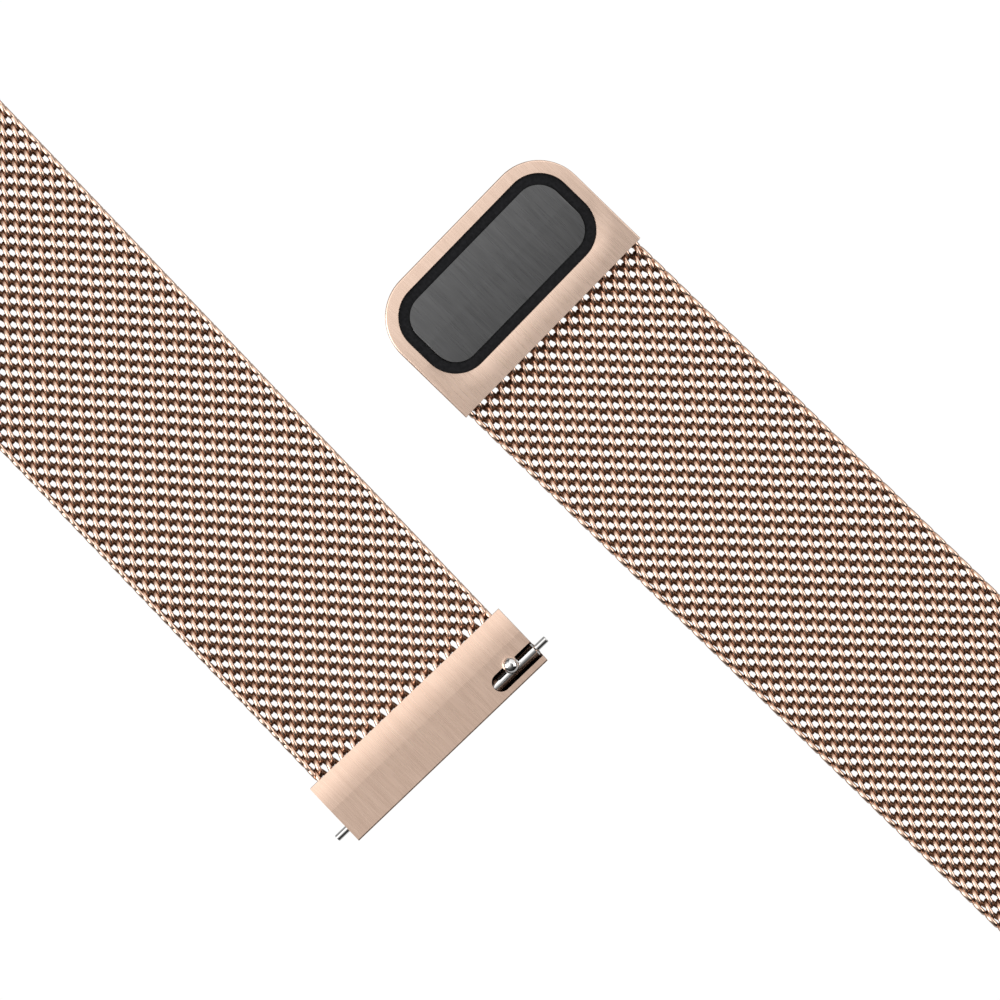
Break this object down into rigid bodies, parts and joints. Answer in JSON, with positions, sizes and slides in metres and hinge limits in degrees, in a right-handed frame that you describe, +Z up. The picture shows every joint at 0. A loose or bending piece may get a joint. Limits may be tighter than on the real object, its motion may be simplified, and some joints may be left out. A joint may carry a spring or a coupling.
{
  "type": "woven mesh watch strap",
  "caption": "Rose-gold woven-mesh watch strap in separate clasp and loop halves, each ending in a brushed lug connector with a quick-release spring bar.",
  "frame": {"origin": "centre of the magnetic clasp's underside, on the surface that the flat strap lies on", "axes": "+X along the long half, from its clasp towards its lug connector; +Y across the strap, towards the knobbed ends of the spring bars; +Z up, out of the clasp's magnet face"},
  "size_m": [0.2177, 0.0559, 0.0041],
  "materials": {
    "mesh_wire": "rose-gold plated woven steel wire",
    "connector_metal": "rose-gold plated, brushed along the strap",
    "clasp_metal": "rose-gold plated, brushed along the strap",
    "loop_metal": "rose-gold plated, brushed along the strap",
    "anchor_pin_steel": "plain steel",
    "spring_bar_steel": "polished steel",
    "spring_steel": "drawn spring wire",
    "keeper_steel": "zinc-plated flux plate",
    "magnet": "nickel-plated magnet blocks",
    "bezel_plastic": "black moulded frame",
    "face_plate_steel": "dark grey brushed plate"
  },
  "bodies": {
    "clasp": {"clasp_shell": "clasp_metal", "clasp_pin": "anchor_pin_steel", "clasp_keeper": "keeper_steel", "clasp_magnets": "magnet", "clasp_bezel": "bezel_plastic", "clasp_face_plate": "face_plate_steel"},
    "long_mesh_01": {"long_mesh_01": "mesh_wire"},
    "long_mesh_02": {"long_mesh_02": "mesh_wire"},
    "long_mesh_03": {"long_mesh_03": "mesh_wire"},
    "long_mesh_04": {"long_mesh_04": "mesh_wire"},
    "long_mesh_05": {"long_mesh_05": "mesh_wire"},
    "long_mesh_06": {"long_mesh_06": "mesh_wire"},
    "long_mesh_07": {"long_mesh_07": "mesh_wire"},
    "long_mesh_08": {"long_mesh_08": "mesh_wire"},
    "long_mesh_09": {"long_mesh_09": "mesh_wire"},
    "long_mesh_10": {"long_mesh_10": "mesh_wire"},
    "long_mesh_11": {"long_mesh_11": "mesh_wire"},
    "long_mesh_12": {"long_mesh_12": "mesh_wire"},
    "long_connector": {"long_connector": "connector_metal", "long_connector_pin": "anchor_pin_steel", "long_bar_barrel": "spring_bar_steel", "long_bar_fixed_pin": "spring_bar_steel", "long_bar_spring": "spring_steel"},
    "long_bar_slider": {"long_bar_sliding_pin": "spring_bar_steel", "long_bar_knob": "spring_bar_steel"},
    "short_connector": {"short_connector": "connector_metal", "short_connector_pin": "anchor_pin_steel", "short_bar_barrel": "spring_bar_steel", "short_bar_fixed_pin": "spring_bar_steel", "short_bar_spring": "spring_steel"},
    "short_bar_slider": {"short_bar_sliding_pin": "spring_bar_steel", "short_bar_knob": "spring_bar_steel"},
    "short_mesh_01": {"short_mesh_01": "mesh_wire"},
    "short_mesh_02": {"short_mesh_02": "mesh_wire"},
    "short_mesh_03": {"short_mesh_03": "mesh_wire"},
    "short_mesh_04": {"short_mesh_04": "mesh_wire"},
    "short_mesh_05": {"short_mesh_05": "mesh_wire"},
    "short_mesh_06": {"short_mesh_06": "mesh_wire"},
    "loop": {"loop_frame": "loop_metal", "loop_pin": "anchor_pin_steel"}
  },
  "joints": [
    {"name": "long_bend_01", "type": "hinge", "parent": "clasp", "child": "long_mesh_01", "pos_m": [0.00528, 0, 0.00065], "axis": [0, 1, 0], "range_deg": [-22, 22]},
    {"name": "long_bend_02", "type": "hinge", "parent": "long_mesh_01", "child": "long_mesh_02", "pos_m": [0.01735, 0, 0.00065], "axis": [0, 1, 0], "range_deg": [-22, 22]},
    {"name": "long_bend_03", "type": "hinge", "parent": "long_mesh_02", "child": "long_mesh_03", "pos_m": [0.02942, 0, 0.00065], "axis": [0, 1, 0], "range_deg": [-22, 22]},
    {"name": "long_bend_04", "type": "hinge", "parent": "long_mesh_03", "child": "long_mesh_04", "pos_m": [0.04149, 0, 0.00065], "axis": [0, 1, 0], "range_deg": [-22, 22]},
    {"name": "long_bend_05", "type": "hinge", "parent": "long_mesh_04", "child": "long_mesh_05", "pos_m": [0.05356, 0, 0.00065], "axis": [0, 1, 0], "range_deg": [-22, 22]},
    {"name": "long_bend_06", "type": "hinge", "parent": "long_mesh_05", "child": "long_mesh_06", "pos_m": [0.06563, 0, 0.00065], "axis": [0, 1, 0], "range_deg": [-22, 22]},
    {"name": "long_bend_07", "type": "hinge", "parent": "long_mesh_06", "child": "long_mesh_07", "pos_m": [0.07771, 0, 0.00065], "axis": [0, 1, 0], "range_deg": [-22, 22]},
    {"name": "long_bend_08", "type": "hinge", "parent": "long_mesh_07", "child": "long_mesh_08", "pos_m": [0.08978, 0, 0.00065], "axis": [0, 1, 0], "range_deg": [-22, 22]},
    {"name": "long_bend_09", "type": "hinge", "parent": "long_mesh_08", "child": "long_mesh_09", "pos_m": [0.10185, 0, 0.00065], "axis": [0, 1, 0], "range_deg": [-22, 22]},
    {"name": "long_bend_10", "type": "hinge", "parent": "long_mesh_09", "child": "long_mesh_10", "pos_m": [0.11392, 0, 0.00065], "axis": [0, 1, 0], "range_deg": [-22, 22]},
    {"name": "long_bend_11", "type": "hinge", "parent": "long_mesh_10", "child": "long_mesh_11", "pos_m": [0.12599, 0, 0.00065], "axis": [0, 1, 0], "range_deg": [-22, 22]},
    {"name": "long_bend_12", "type": "hinge", "parent": "long_mesh_11", "child": "long_mesh_12", "pos_m": [0.13807, 0, 0.00065], "axis": [0, 1, 0], "range_deg": [-22, 22]},
    {"name": "long_bend_13", "type": "hinge", "parent": "long_mesh_12", "child": "long_connector", "pos_m": [0.15014, 0, 0.00065], "axis": [0, 1, 0], "range_deg": [-22, 22]},
    {"name": "long_bar_release", "type": "slide", "parent": "long_connector", "child": "long_bar_slider", "axis": [0, -1, 0], "range_m": [0, 0.0013], "stiffness_N_per_m": 300, "springref_m": -0.001, "deforming": ["long_bar_spring"]},
    {"name": "short_half_apart", "type": "slide", "parent": "clasp", "child": "short_connector", "axis": [0, -1, 0], "range_m": [0, 0.03]},
    {"name": "short_bar_release", "type": "slide", "parent": "short_connector", "child": "short_bar_slider", "axis": [-0.0366, -0.9993, 0], "range_m": [0, 0.0013], "stiffness_N_per_m": 300, "springref_m": -0.001, "deforming": ["short_bar_spring"]},
    {"name": "short_bend_01", "type": "hinge", "parent": "short_connector", "child": "short_mesh_01", "pos_m": [0.01962, -0.03124, 0.00065], "axis": [-0.0366, -0.9993, 0], "range_deg": [-22, 22]},
    {"name": "short_bend_02", "type": "hinge", "parent": "short_mesh_01", "child": "short_mesh_02", "pos_m": [0.00756, -0.0308, 0.00065], "axis": [-0.0366, -0.9993, 0], "range_deg": [-22, 22]},
    {"name": "short_bend_03", "type": "hinge", "parent": "short_mesh_02", "child": "short_mesh_03", "pos_m": [-0.00451, -0.03036, 0.00065], "axis": [-0.0366, -0.9993, 0], "range_deg": [-22, 22]},
    {"name": "short_bend_04", "type": "hinge", "parent": "short_mesh_03", "child": "short_mesh_04", "pos_m": [-0.01657, -0.02992, 0.00065], "axis": [-0.0366, -0.9993, 0], "range_deg": [-22, 22]},
    {"name": "short_bend_05", "type": "hinge", "parent": "short_mesh_04", "child": "short_mesh_05", "pos_m": [-0.02864, -0.02947, 0.00065], "axis": [-0.0366, -0.9993, 0], "range_deg": [-22, 22]},
    {"name": "short_bend_06", "type": "hinge", "parent": "short_mesh_05", "child": "short_mesh_06", "pos_m": [-0.0407, -0.02903, 0.00065], "axis": [-0.0366, -0.9993, 0], "range_deg": [-22, 22]},
    {"name": "short_bend_07", "type": "hinge", "parent": "short_mesh_06", "child": "loop", "pos_m": [-0.05276, -0.02859, 0.00065], "axis": [-0.0366, -0.9993, 0], "range_deg": [-22, 22]}
  ]
}
